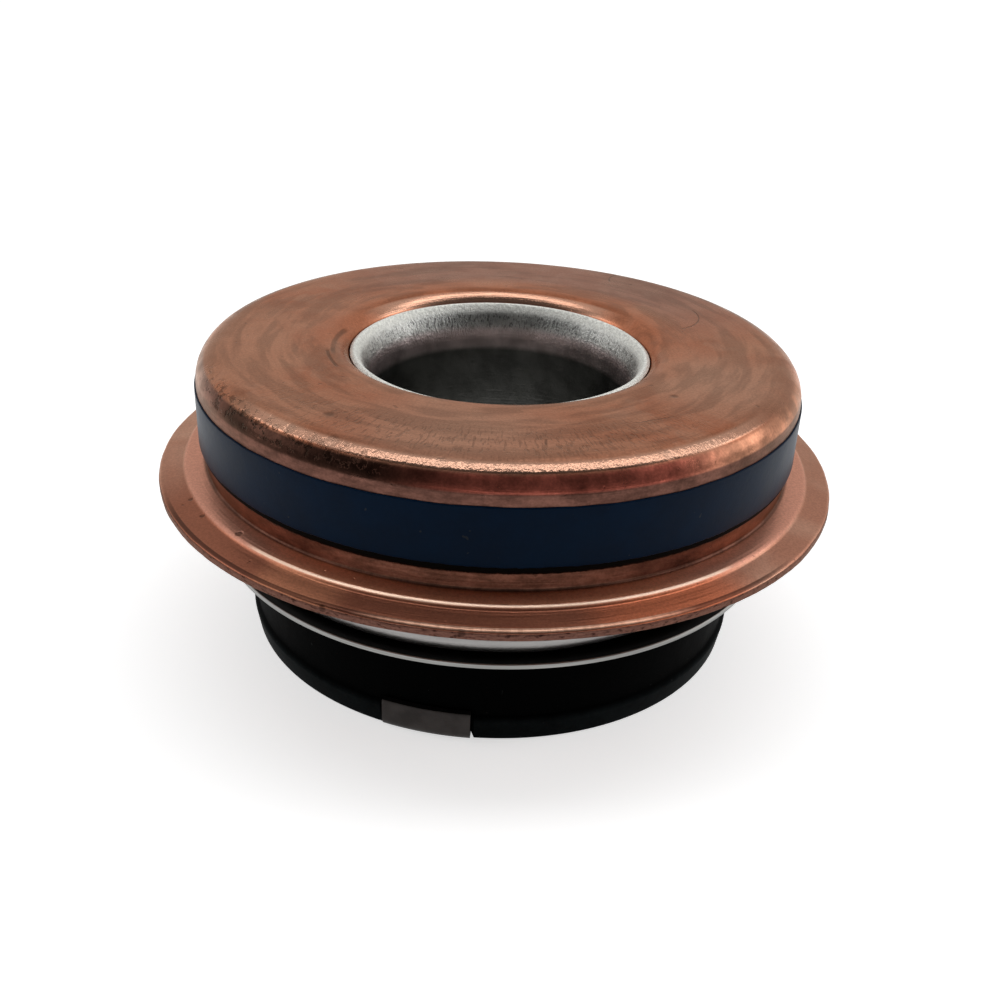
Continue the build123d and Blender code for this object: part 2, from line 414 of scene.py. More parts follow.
def casing_section():
    """Lip, closed end, press wall, relief, shoulder and flange of the drawn casing."""
    collar_end = casing_top - lip_r - collar_length
    relief_slope_end = relief_top - relief_depth
    shoulder_z = relief_low - shoulder_drop
    foot_r = shoulder_r + shoulder_step_width
    foot_z = shoulder_z - shoulder_step
    return [
        (collar_r, collar_end, cut_edge_r),
        (collar_r, casing_top, lip_r),
        (casing_r, casing_top, casing_corner_r),
        (casing_r, relief_top, cut_edge_r),
        (relief_r, relief_slope_end, casing_bend_r),
        (relief_r, relief_low, casing_bend_r),
        (shoulder_r, shoulder_z, shoulder_crest_r),
        (foot_r, foot_z, casing_bend_r),
        (flange_r, edge_z, sheared_edge_r),
        (flange_r, flange_low, cut_edge_r),
        (shoulder_r, foot_z - casing_sheet, casing_bend_r),
        (relief_r - casing_sheet, relief_low - casing_sheet, casing_bend_r + casing_sheet),
        (relief_r - casing_sheet, relief_slope_end, casing_bend_r),
        (casing_inner_r, relief_top, 0),
        (casing_inner_r, casing_roof, casing_corner_r - casing_sheet),
        (collar_r + casing_sheet, casing_roof, lip_r - casing_sheet),
        (collar_r + casing_sheet, collar_end, cut_edge_r),
    ]


def wear_casing(bm):
    """Work the sheared edge and the crown of the shoulder a little out of true."""
    for vert in bm.verts:
        out = vert.co.xy.length
        if out > casing_r + relief_depth and vert.co.z < band_low:
            direction = vert.co.xy.normalized()
            sway = share_of_noise(direction, sway_rate, 0.5)
            ripple = share_of_noise(direction, ripple_rate, vert.co.z * 2)
            inward = edge_wobble * sway + edge_ripple * ripple
            share = min(1, (out - casing_r - relief_depth) / shoulder_width)
            vert.co.xy -= direction * inward * share


def make_casing(finish):
    """Drawn casing, with its lip, closed end, press wall, shoulder and flange."""
    bm = turned(casing_section(), casing_longest)
    wear_casing(bm)
    return piece("copper_casing", bm, finish, "casing", "casing_half")


def make_sealant_band(finish):
    """Coat whose two brushed edges wander a little, the lower one more."""
    inner_r = casing_r - cut_edge_r
    bm = turned([
        (inner_r, band_top, 0),
        (band_r, band_top, cut_edge_r),
        (band_r, band_low, cut_edge_r),
        (inner_r, band_low, 0),
    ], band_longest)
    for vert in bm.verts:
        direction = vert.co.xy.normalized()
        run = share_of_noise(direction, run_rate, vert.co.z)
        ragged = share_of_noise(direction, ragged_rate, 0)
        if vert.co.z < band_low + cut_edge_r * 2:
            vert.co.z += ragged_edge * ragged + ragged_edge * run
        elif vert.co.z > band_top - cut_edge_r * 2:
            vert.co.z -= ragged_edge * run
    return piece("painted_sealant", bm, finish, "sealant_band", "casing_half")


def at_tab(place, half_angle):
    """Whether a place lies within an angle of the middle of one of the drive tabs."""
    spacing = 2 * pi / tab_count
    turn = (atan2(place.y, place.x) - first_tab) % spacing
    return min(turn, spacing - turn) < half_angle


def bend_up_tabs(bm):
    """Draw the drive tabs out of the edge of the foot ring and bend them up round the cup."""
    inner_bend_r = tab_bend_r - sleeve_sheet
    bend_middle = Vector((tab_r - tab_bend_r, tab_bend_r))
    outside = [Vector((sleeve_foot_r, 0))]
    inside = [Vector((sleeve_foot_r, sleeve_sheet))]
    for step in range(tab_bend_steps + 1):
        angle = pi / 2 * step / tab_bend_steps
        along = Vector((sin(angle), -cos(angle)))
        outside.append(bend_middle + along * tab_bend_r)
        inside.append(bend_middle + along * inner_bend_r)
    for height in (tab_height - tab_edge_r, tab_height):
        outside.append(Vector((tab_r, height)))
        inside.append(Vector((tab_r - sleeve_sheet, height)))
    outside[-1].x -= tab_edge_r / 2
    front = []
    for face in bm.faces:
        middle = face.calc_center_median()
        on_edge = middle.xy.length > sleeve_foot_r - weld_distance * 5
        if on_edge and at_tab(middle, tab_width / tab_r / 2):
            front.append(face)
    for stage in range(1, len(outside)):
        made = bmesh.ops.extrude_face_region(bm, geom=front)
        bmesh.ops.delete(bm, geom=front, context="FACES_ONLY")
        front = [part for part in made["geom"] if isinstance(part, bmesh.types.BMFace)]
        for vert in {vert for face in front for vert in face.verts}:
            here = Vector((vert.co.xy.length, vert.co.z))
            was_outside = (here - outside[stage - 1]).length < (here - inside[stage - 1]).length
            there = outside[stage] if was_outside else inside[stage]
            direction = vert.co.xy.normalized()
            vert.co = (direction.x * there.x, direction.y * there.x, there.y)


def flare_side(bend_r, edge_r):
    """One side of the flare, from its start to the rounded corner of its end."""
    corners = []
    for step in range(flare_steps + 1):
        angle = flare_angle * step / flare_steps
        out = bore_r + flare_bend_r - bend_r * cos(angle)
        corners.append((out, flare_start + bend_r * sin(angle), 0))
    corners[-1] = (*corners[-1][:2], edge_r)
    return corners


def make_sleeve(finish):
    """Sleeve with a flared end, a foot ring and its drive tabs."""
    inner = flare_side(flare_bend_r, flare_edge_r)
    outer = flare_side(flare_bend_r - sleeve_sheet, cut_edge_r)
    bm = turned([
        *inner,
        *reversed(outer),
        (sleeve_r, sleeve_sheet, sleeve_bend_r - sleeve_sheet),
        (sleeve_foot_r, sleeve_sheet, 0),
        (sleeve_foot_r, 0, 0),
        (bore_r, 0, sleeve_bend_r),
    ])
    bend_up_tabs(bm)
    return piece("flared_sleeve", bm, finish, "shaft_sleeve", "rotating_half")


def make_cup(finish):
    """Rubber cup, with its wall and floor drawn back where the drive tabs lie."""
    rim_r = sleeve_foot_r + drive_gap
    lap_z = ring_seat + cup_sleeve_height
    notch_r = tab_r - sleeve_sheet - drive_gap
    notch_top = tab_height + drive_gap
    slot_top = sleeve_sheet + drive_gap
    bm = turned([
        (sleeve_r, sleeve_sheet, sleeve_bend_r - sleeve_sheet),
        (rim_r, sleeve_sheet, 0),
        (rim_r, 0, 0),
        (cup_r, 0, rubber_edge_r),
        (bead_r, cup_bead_height, cup_rim_r),
        (cup_r, cup_bead_height + cup_bead, rubber_edge_r),
        (cup_r, notch_top, 0),
        (cup_r, notch_top + rubber_edge_r / 4, 0),
        (cup_r, cup_top, cup_rim_r),
        (mating_ring_r, cup_top, rubber_edge_r),
        (mating_ring_r, ring_seat, 0),
        (mating_bore_r, ring_seat, 0),
        (mating_bore_r, lap_z, rubber_edge_r),
        (sleeve_r, lap_z, 0),
    ])
    notch_angle = tab_width / tab_r / 2 + 2 * pi / around / 2
    for vert in bm.verts:
        out = vert.co.xy.length
        if out > rim_r - weld_distance and vert.co.z < notch_top + weld_distance:
            if at_tab(vert.co, notch_angle):
                vert.co.z = max(vert.co.z, slot_top)
                vert.co.xy *= min(1, notch_r / out)
    bmesh.ops.remove_doubles(bm, verts=bm.verts[:], dist=weld_distance)
    bmesh.ops.recalc_face_normals(bm, faces=bm.faces[:])
    return piece("rubber_cup", bm, finish, "mating_ring_cup", "rotating_half")


def make_mating_ring(finish):
    """Hard ring with its running face up."""
    bm = turned([
        (mating_bore_r, ring_seat, cut_edge_r),
        (mating_ring_r, ring_seat, cut_edge_r),
        (mating_ring_r, running_face - face_chamfer, cut_edge_r),
        (mating_ring_r - face_chamfer, running_face, cut_edge_r),
        (mating_bore_r, running_face, cut_edge_r),
    ])
    return piece("lapped_ring", bm, finish, "mating_ring", "rotating_half")


def make_face_ring(finish):
    """Carbon ring with a narrower nose that runs on the hard ring."""
    nose_z = nose_low + nose_height
    ring_bore_r = sleeve_r + carbon_gap
    nose_inner_r = ring_bore_r + nose_inner_step
    nose_outer_r = face_ring_r - nose_outer_step
    bm = turned([
        (nose_inner_r, nose_low, cut_edge_r),
        (nose_outer_r, nose_low, cut_edge_r),
        (nose_outer_r, nose_z, rubber_edge_r),
        (face_ring_r, nose_z, retainer_sheet),
        (face_ring_r, face_ring_top, retainer_sheet),
        (ring_bore_r, face_ring_top, retainer_sheet),
        (ring_bore_r, nose_z, rubber_edge_r),
        (nose_inner_r, nose_z - nose_inner_step, cut_edge_r),
    ])
    return piece("carbon_ring", bm, finish, "face_ring", "sliding_head")


def make_retainer(finish):
    """Pressed hat over the head of the bellows, whose brim carries the spring."""
    lip_end_r = retainer_wall_r - retainer_lip
    inner_bend_r = retainer_bend_r - retainer_sheet
    brim_top = brim_low + retainer_sheet
    roof = hat_top - retainer_sheet
    bm = turned([
        (socket_r, brim_low, retainer_bend_r),
        (brim_r, brim_low, cut_edge_r),
        (brim_r, brim_top, cut_edge_r),
        (retainer_wall_r, brim_top, inner_bend_r),
        (retainer_wall_r, hat_top, retainer_bend_r),
        (lip_end_r, hat_top, cut_edge_r),
        (lip_end_r, roof, cut_edge_r),
        (socket_r, roof, inner_bend_r),
    ])
    return piece("spring_hat", bm, finish, "spring_retainer", "sliding_head")


def make_spring_seat(finish):
    """Pressed ring that clamps the bellows and centres the spring."""
    inner_bend_r = seat_bend_r - seat_sheet
    bm = turned([
        (seat_leg_r, clamp_z, seat_bend_r),
        (seat_r, clamp_z, cut_edge_r),
        (seat_r, clamp_z - seat_sheet, cut_edge_r),
        (seat_leg_r + seat_sheet, clamp_z - seat_sheet, inner_bend_r),
        (seat_leg_r + seat_sheet, seat_leg_low, cut_edge_r),
        (seat_leg_r, seat_leg_low, cut_edge_r),
    ])
    return piece("seat_pressing", bm, finish, "spring_seat", "casing_half")


def make_bellows(finish):
    """Rubber bellows: clamped flange, one fold, and a head over the carbon."""
    head_top = hat_top - retainer_sheet - bellows_gap
    flange_bore_r = collar_r + casing_sheet + 2 * bellows_gap
    lip_corner_r = lip_r - casing_sheet + 2 * bellows_gap
    neck_r = seat_leg_r - 2 * bellows_gap - bellows_wall
    fold_r = neck_r - bellows_fold
    mouth_r = retainer_wall_r - retainer_lip - bellows_gap
    tail_r = mouth_r - bellows_wall
    skirt_r = socket_r - bellows_gap
    fold_z = (clamp_z + head_top) / 2
    fold_high = fold_z + bellows_fold_height / 2
    fold_low = fold_z - bellows_fold_height / 2
    bend_r = bellows_wall / 2
    bm = turned([
        (flange_bore_r, bellows_top, lip_corner_r),
        (bellows_r, bellows_top, rubber_edge_r),
        (bellows_r, clamp_z, rubber_edge_r),
        (neck_r + bellows_wall, clamp_z, bend_r),
        (neck_r + bellows_wall, fold_high, bend_r),
        (fold_r + bellows_wall, fold_high - bellows_wall, bend_r),
        (fold_r + bellows_wall, fold_low - bend_r, bend_r),
        (mouth_r, head_top + bend_r, rubber_root_r),
        (mouth_r, head_top, rubber_root_r),
        (skirt_r, head_top, bend_r),
        (skirt_r, skirt_low, rubber_edge_r),
        (skirt_r - bellows_wall, skirt_low, rubber_edge_r),
        (skirt_r - bellows_wall, face_ring_top + bellows_gap, rubber_root_r),
        (tail_r, face_ring_top + bellows_gap, rubber_edge_r),
        (fold_r, fold_low - bend_r, bend_r),
        (fold_r, fold_high - bend_r, bend_r),
        (neck_r, fold_high + bend_r, bend_r),
        (neck_r, clamp_z, rubber_edge_r),
        (flange_bore_r, clamp_z, rubber_root_r),
    ], bellows_longest)
    return piece("folded_bellows", bm, finish, "bellows")


def make_spring(finish):
    """Round wire: a flat end coil, rising working turns and a second flat end coil."""
    wire_r = wire_d / 2
    path_r = spring_r - wire_r
    low_z = spring_low + wire_r
    rise = spring_top - wire_r - low_z
    bm = bmesh.new()
    bmesh.ops.create_circle(bm, cap_ends=True, segments=wire_sides, radius=wire_r)
    start = spring_turn - end_coil_angle
    place = Matrix.Translation((0, 0, low_z)) @ Matrix.Rotation(start, 4, "Z")
    place = place @ Matrix.Translation((path_r, 0, 0)) @ Matrix.Rotation(pi / 2, 4, "X")
    bmesh.ops.transform(bm, matrix=place, verts=bm.verts[:])
    front = bm.faces[:]
    for angle, lift in ((end_coil_angle, 0), (working_angle, rise), (end_coil_angle, 0)):
        steps = round(angle / coil_step)
        made = bmesh.ops.spin(
            bm,
            geom=front,
            cent=(0, 0, 0),
            axis=(0, 0, 1),
            dvec=(0, 0, lift / steps),
            angle=angle,
            steps=steps,
        )
        front = [part for part in made["geom_last"] if isinstance(part, bmesh.types.BMFace)]
    bmesh.ops.remove_doubles(bm, verts=bm.verts[:], dist=weld_distance)
    bmesh.ops.recalc_face_normals(bm, faces=bm.faces[:])
    return piece("spring_coils", bm, finish, "coil_spring")


# --------------------------------------------------------------------- materials


class Nodes:
    """A node tree, with short ways to add to it."""

    def __init__(self, tree):
        self.tree = tree

    def add(self, kind, inputs, **settings):
        made = self.tree.nodes.new(kind)
        for name, value in settings.items():
            setattr(made, name, value)
        for key, value in inputs.items():
            if isinstance(value, bpy.types.NodeSocket):
                self.tree.links.new(value, made.inputs[key])
            else:
                made.inputs[key].default_value = value
        return made

    def vector(self, operation, *values, out=0):
        inputs = dict(enumerate(values))
        return self.add("ShaderNodeVectorMath", inputs, operation=operation).outputs[out]


class Finish(Nodes):
    """A surface and the nodes that make it. Its patterns are in millimetres on the piece."""

    def __init__(self, name, **sockets):
        self.material = bpy.data.materials.new(name)
        self.material.use_nodes = True
        super().__init__(self.material.node_tree)
        self.shader = self.tree.nodes["Principled BSDF"]
        for socket, value in sockets.items():
            self.shader.inputs[socket.replace("_", " ")].default_value = value
        on_piece = self.add("ShaderNodeTexCoord", {}).outputs["Object"]
        self.place = self.scaled(on_piece, 1 / MM)
        self.height = self.add("ShaderNodeSeparateXYZ", {0: self.place}).outputs["Z"]
        flat = self.vector("MULTIPLY", self.place, (1, 1, 0))
        self.radius = self.vector("LENGTH", flat, out="Value")
        self.direction = self.vector("NORMALIZE", flat)

    def scaled(self, value, scale):
        inputs = {0: value, "Scale": scale}
        return self.add("ShaderNodeVectorMath", inputs, operation="SCALE").outputs[0]

    def away(self, place):
        """Distance from a place on the piece."""
        return self.vector("DISTANCE", self.place, place, out="Value")

    def math(self, operation, *values):
        inputs = dict(enumerate(values))
        return self.add("ShaderNodeMath", inputs, operation=operation).outputs[0]

    def rolled(self, along, across, up):
        """Coordinates that run round the axis, stretched along the circle, the radius and Z."""
        out = self.math("MULTIPLY", self.radius, across)
        out = self.math("MULTIPLY_ADD", self.height, up, out)
        stacked = self.add("ShaderNodeCombineXYZ", {"Z": out}).outputs[0]
        return self.vector("MULTIPLY_ADD", self.direction, (along, along, 0), stacked)

    def noise(self, place, scale, detail=2.0, roughness=0.5, distortion=0.0):
        inputs = {
            "Vector": place,
            "Scale": scale,
            "Detail": detail,
            "Roughness": roughness,
            "Distortion": distortion,
        }
        return self.add("ShaderNodeTexNoise", inputs).outputs[0]

    def rise(self, value, low, high):
        """Smooth step from 0 at low to 1 at high. Low may be the larger of the two."""
        inputs = {"Value": value, "From Min": low, "From Max": high}
        if low > high:
            inputs = {"Value": value, "From Min": high, "From Max": low}
            inputs.update({"To Min": 1.0, "To Max": 0.0})
        return self.add("ShaderNodeMapRange", inputs, interpolation_type="SMOOTHSTEP").outputs[0]

    def clear(self, pattern):
        """A noise whose middle range is stretched to run from 0 to 1."""
        return self.rise(pattern, noise_low, noise_high)

    def both(self, first, *others):
        """Share of the surface where every one of the masks holds."""
        for other in others:
            first = self.math("MULTIPLY", first, other)
        return first

    def band(self, value, low, high, soft):
        """Mask that is 1 between low and high, and fades out over soft."""
        return self.both(
            self.rise(value, low - soft, low + soft),
            self.rise(value, high + soft, high - soft),
        )

    def colour(self, share, first, second):
        """Mix of two colours, or of a colour and a mix made before."""
        first, second = [
            value if isinstance(value, bpy.types.NodeSocket) else (*value, 1)
            for value in (first, second)
        ]
        inputs = {0: share, 6: first, 7: second}
        return self.add("ShaderNodeMix", inputs, data_type="RGBA").outputs[2]

    def amount(self, share, first, second):
        inputs = {0: share, 2: first, 3: second}
        return self.add("ShaderNodeMix", inputs, data_type="FLOAT").outputs[0]

    def shade(self, colour, low, high, share):
        """Darken and lighten a colour between two levels, by a pattern."""
        return self.scaled(colour, self.amount(share, low, high))

    def facing(self, angle, near, far):
        """Mask of the side that faces an angle round Z: 1 within near of it and 0 beyond far."""
        angle, near, far = radians(angle), radians(near), radians(far)
        side = (cos(angle), sin(angle), 0)
        toward = self.vector("DOT_PRODUCT", self.direction, side, out="Value")
        return self.rise(toward, cos(far), cos(near))

    def blot(self, x, y, size, soft, height=casing_top):
        """Mask of a round spot, on the closed end if no height is given."""
        return self.rise(self.away((x, y, height)), size + soft, size)

    def scratch(self, middle, bend, width, reach):
        """Mask of a hair-thin arc: part of a circle round bend, near the point middle."""
        bend_r = (Vector(middle) - Vector(bend)).length
        past = self.math("SUBTRACT", self.away((*bend, casing_top)), bend_r)
        off = self.math("ABSOLUTE", past)
        line = self.rise(off, width, width / 3)
        return self.both(line, self.blot(*middle, reach * 0.7, reach * 0.3))

    def bump(self, height, depth, before=None):
        """Relief of a depth in millimetres, laid over any relief made before."""
        inputs = {"Height": height, "Distance": depth * MM, "Strength": 1.0}
        if before:
            inputs["Normal"] = before
        return self.add("ShaderNodeBump", inputs).outputs[0]

    def show(self, **sockets):
        """Join finished patterns to the shader."""
        for socket, value in sockets.items():
            self.tree.links.new(value, self.shader.inputs[socket.replace("_", " ")])
        return self.material


class Copper(Finish):
    """Drawn copper sheet: handled and stained on top, with painted shade down its side.

    Sides are angles round Z in degrees: -80 is the front and 100 the back.
    """

    def __init__(self):
        super().__init__("drawn_copper", Metallic=1.0, Specular_Tint=(1.0, 0.86, 0.76, 1))
        self.broad = self.noise(self.place, 0.13, 3.0, 0.6, 0.6)
        self.cloudy = self.noise(self.place, 0.5, 4.0, 0.6, 0.4)
        self.swirl = self.noise(self.rolled(3.0, 1.1, 0.0), 0.9, 3.0, 0.55, 0.4)
        self.drawn = self.noise(self.rolled(3.0, 9.0, 9.0), 1.0, 2.0, 0.6)
        self.grain = self.noise(self.place, 7.0, 2.0, 0.7)
        self.find_forms()
        self.find_wear()
        self.find_marks()
        self.find_residue_and_shadow()

    def find_forms(self):
        """Masks of the forms below the closed end.

        They are its whole side, the ledge and crest of the shoulder, the flange, and the brow
        and the cut of the flange's sheared edge.
        """
        z, r = self.height, self.radius
        self.side = self.both(
            self.rise(z, corner_low, corner_low - 0.2),
            self.rise(r, corner_start_r + 0.05, corner_start_r + 0.55),
        )
        self.ledge = self.both(
            self.rise(z, relief_low + 0.15, relief_low - 0.05),
            self.rise(r, relief_r + 0.05, relief_r + 0.25),
        )
        below_ledge = self.rise(z, relief_low + 0.05, relief_low - 0.05)
        self.flange = self.both(self.rise(r, shoulder_r - 0.05, shoulder_r + 0.1), below_ledge)
        # A painted highlight along the crest, on the front only
        self.crest = self.both(
            self.band(r, shoulder_r - 0.15, shoulder_r, 0.03),
            below_ledge,
            self.facing(-78.0, 38.0, 43.0),
        )
        self.brow = self.both(
            self.band(r, flange_r - 0.35, flange_r - 0.07, 0.03),
            self.rise(z, edge_z - 0.06, edge_z - 0.02),
        )
        self.cut = self.both(
            self.rise(r, flange_r - 0.2, flange_r - 0.14),
            self.rise(z, edge_z - 0.07, edge_z - 0.12),
        )

    def find_wear(self):
        """Masks of painted highlights: the corner in front, the lip at the back, and the brow's
        line.
        """
        z, r = self.height, self.radius
        self.corner_highlight = self.both(
            self.band(z, corner_low - 0.02, casing_top - 0.1, 0.05),
            self.rise(r, corner_start_r - 0.35, corner_start_r + 0.15),
            self.facing(-76.0, 38.0, 58.0),
        )
        lip = self.both(
            self.rise(r, lip_highlight_r + 0.2, lip_highlight_r),
            self.band(z, casing_top - 0.7, casing_top - 0.12, 0.08),
            self.facing(108.0, 40.0, 62.0),
        )
        self.painted_highlights = self.math("MAXIMUM", self.corner_highlight, lip)
        chipped = self.noise(self.rolled(50.0, 0.0, 0.0), 1.0, 3.0, 0.6)
        shine = self.amount(self.rise(chipped, 0.42, 0.56), 0.6, 0.85)
        # A painted highlight along the brow of the sheared edge, at the front only
        self.brow_highlight = self.both(self.brow, shine, self.facing(-72.0, 10.0, 26.0))

    def find_marks(self):
        """Masks of short ticks near the rim, pits at the corner, and scratches, spots and nicks."""
        z, r = self.height, self.radius
        ticks = self.noise(self.rolled(110.0, 1.6, 1.6), 1.0, 1.0, 0.5)
        self.struck = self.both(
            self.rise(ticks, 0.52, 0.64),
            self.band(r, corner_start_r - 2.95, corner_start_r + 0.15, 1.2),
            self.facing(-80.0, 20.0, 60.0),
            self.rise(z, casing_top - 0.5, casing_top - 0.3),
        )
        self.pitted = self.both(
            self.rise(self.noise(self.place, 2.3, 3.0, 0.6), 0.52, 0.6),
            self.facing(-122.0, 12.0, 30.0),
            self.band(z, casing_top - 1.0, casing_top - 0.15, 0.12),
            self.rise(r, corner_start_r - 0.05, corner_start_r + 0.35),
        )
        self.marks = self.both(self.rise(self.noise(self.place, 2.2, 1.0), 0.74, 0.8), 0.7)
        found = [self.scratch(*line) for line in end_scratches]
        found += [self.blot(*spot) for spot in end_spots]
        for angle, out, height, size in nicks:
            turn = radians(angle)
            found.append(self.blot(out * cos(turn), out * sin(turn), size, size, height))
        for mark in found:
            self.marks = self.math("MAXIMUM", self.marks, mark)

    def find_residue_and_shadow(self):
        """Mask of dried sealant below the band, ragged below; near black, it paints the groove's
        shadow.
        """
        ragged = self.noise(self.rolled(60.0, 0.0, 1.0), 1.0, 3.0, 0.7)
        low = self.math("MULTIPLY_ADD", ragged, -0.2, band_low - 0.43)
        self.residue_and_shadow = self.both(
            self.rise(self.math("SUBTRACT", self.height, low), 0.0, 0.12),
            self.rise(self.height, band_low + 0.4, band_low + 0.3),
            self.rise(self.radius, relief_r - 0.1, relief_r - 0.05),
        )

    def plate_tone(self):
        """Colour of the closed end, greyest where it has been handled."""
        tone = self.colour(self.rise(self.broad, 0.35, 0.65), plate_red, plate_tan)
        handled = self.both(self.rise(self.cloudy, 0.52, 0.68), 0.55)
        for spot in handled_spots:
            handled = self.math("MAXIMUM", handled, self.blot(*spot))
        tone = self.colour(self.both(handled, 0.85), tone, plate_grey)
        r = self.radius
        near_bore = self.both(self.rise(r, 12.6, 10.2), self.facing(100.0, 90.0, 125.0), 0.6)
        tone = self.colour(near_bore, tone, plate_orange)
        far_side = self.both(self.rise(r, 11.0, 13.0), self.facing(88.0, 25.0, 75.0), 0.9)
        tone = self.colour(far_side, tone, plate_back)
        tone = self.shade(tone, 0.82, 1.14, self.rise(self.swirl, 0.4, 0.6))
        return self.shade(tone, 0.92, 1.08, self.drawn)

    def wall_tone(self):
        """Painted shade on the rounded corner, straight wall and groove below it, lit on the right.
        """
        z = self.height
        tone = self.colour(self.facing(120.0, 90.0, 125.0), corner_front_shade, corner_back_shade)
        tone = self.colour(self.facing(-18.0, 14.0, 32.0), tone, plate_tan)
        tone = self.colour(self.facing(-113.0, 14.0, 34.0), tone, corner_left_shade)
        tone = self.colour(self.rise(z, band_top + 0.7, band_top + 0.55), tone, strip_shade)
        groove = self.colour(self.facing(-80.0, 15.0, 36.0), wall_shade, wall_front_shade)
        tone = self.colour(self.rise(z, band_low + 0.45, band_low - 0.35), tone, groove)
        streaks = self.noise(self.rolled(9.0, 1.0, 1.2), 1.0, 4.0, 0.7)
        return self.shade(tone, 0.6, 1.5, self.clear(streaks))

    def flange_tone(self):
        tone = self.colour(self.rise(self.broad, 0.35, 0.65), flange_red, flange_tan)
        # Painted shade in front, then orange and amber patches of painted reflection
        tone = self.colour(self.facing(-100.0, 38.0, 58.0), tone, flange_front_shade)
        tone = self.colour(self.facing(-50.0, 4.0, 16.0), tone, flange_orange_reflection)
        tone = self.colour(self.both(self.facing(-106.5, 2.0, 9.0), 0.8), tone, flange_amber_reflection)
        return self.shade(tone, 0.85, 1.12, self.swirl)

    def tone(self):
        """Colour of the whole casing: its forms and painted shade, then wear, marks and painted
        highlights.
        """
        # Below the corner's top, the side takes the painted shade of wall_tone
        tone = self.colour(self.side, self.plate_tone(), self.wall_tone())
        # Painted reflection on the ledge in front, painted light at its sides
        shoulder = self.colour(self.facing(-80.0, 24.0, 40.0), shoulder_side_light, shoulder_front_reflection)
        tone = self.colour(self.ledge, tone, shoulder)
        tone = self.colour(self.flange, tone, self.flange_tone())
        torn = self.rise(self.noise(self.rolled(60.0, 0.3, 6.0), 1.0, 3.0, 0.6), 0.3, 0.5)
        tone = self.colour(self.cut, tone, self.colour(torn, edge_dark, edge_pink))
        tone = self.shade(tone, 0.88, 1.12, self.clear(self.grain))
        tone = self.shade(tone, 1.0, 0.72, self.struck)
        tone = self.shade(tone, 1.0, 0.45, self.pitted)
        # Painted shade: a thin dark line along the back of the rounded corner
        back_rim_shade = self.both(
            self.facing(102.0, 60.0, 95.0),
            self.rise(self.radius, corner_start_r + 0.2, corner_start_r + 0.4),
            self.rise(self.height, band_top + 0.1, band_top + 0.3),
        )
        tone = self.colour(back_rim_shade, tone, corner_back_shade)
        tone = self.shade(tone, 1.0, 0.5, self.marks)
        tone = self.colour(self.residue_and_shadow, tone, dried_sealant)
        # Beside its painted highlight, the brow is made darker at the front
        brow_dark = self.math("SUBTRACT", self.brow, self.brow_highlight)
        tone = self.colour(self.both(brow_dark, self.facing(-85.0, 50.0, 62.0), 0.8), tone, edge_dark)
        # Painted highlights on the corner, the lip and the brow
        bright = self.math("MAXIMUM", self.both(self.painted_highlights, 0.6), self.brow_highlight)
        tone = self.colour(bright, tone, highlight_copper)
        # The crest's painted highlight, dimmed on the right front
        polish = self.shade(polished_highlight_copper, 1.0, 0.76, self.facing(-48.0, 8.0, 26.0))
        return self.colour(self.crest, tone, polish)

    def roughness(self):
        dull_strip = self.both(self.side, self.rise(self.height, band_top + 0.5, band_top + 0.3))
        rough = self.amount(self.rise(self.cloudy, 0.35, 0.65), 0.27, 0.38)
        for mask, level in (
            (self.math("MAXIMUM", self.ledge, self.flange), 0.17),
            (self.painted_highlights, 0.2),
            (self.crest, 0.07),
            (self.brow, 0.36),
            (dull_strip, 0.38),
            (self.math("MAXIMUM", self.residue_and_shadow, self.cut), 0.55),
        ):
            rough = self.amount(mask, rough, level)
        return rough

    def relief(self):
        dented = self.noise(self.place, 3.6, 3.0, 0.65)
        ripped = self.noise(self.rolled(30.0, 2.0, 6.0), 1.0, 3.0)
        relief = None
        for height, depth in (
            (self.grain, 0.006),
            (self.drawn, 0.01),
            (self.both(dented, self.corner_highlight), 0.05),
            (self.math("MAXIMUM", self.marks, self.struck), -0.02),
            (self.pitted, -0.06),
            (self.both(ripped, self.cut), 0.1),
        ):
            relief = self.bump(height, depth, relief)
        return relief


def make_copper():
    copper = Copper()
    return copper.show(
        Base_Color=copper.tone(),
        Roughness=copper.roughness(),
        Normal=copper.relief(),
        Metallic=copper.math("SUBTRACT", 1.0, copper.residue_and_shadow),
        Specular_IOR_Level=copper.amount(copper.residue_and_shadow, 0.5, 0.02),
    )


def make_sealant():
    """Dark blue sealant, dried with a low sheen."""
    sealant = Finish("dried_sealant", Specular_IOR_Level=0.048)
    run = sealant.noise(sealant.rolled(14.0, 0.0, 0.8), 0.6, 3.0, 0.6)
    grain = sealant.noise(sealant.place, 9.0, 2.0, 0.6)
    tone = sealant.colour(sealant.clear(run), sealant_dark, sealant_blue)
    specks = sealant.rise(sealant.noise(sealant.place, 3.5, 0.0), 0.83, 0.86)
    tone = sealant.colour(sealant.both(specks, 0.5), tone, speck_grey)
    rough = sealant.amount(run, 0.3, 0.42)
    relief = sealant.bump(run, 0.02, sealant.bump(grain, 0.004))
    return sealant.show(Base_Color=tone, Roughness=rough, Normal=relief)


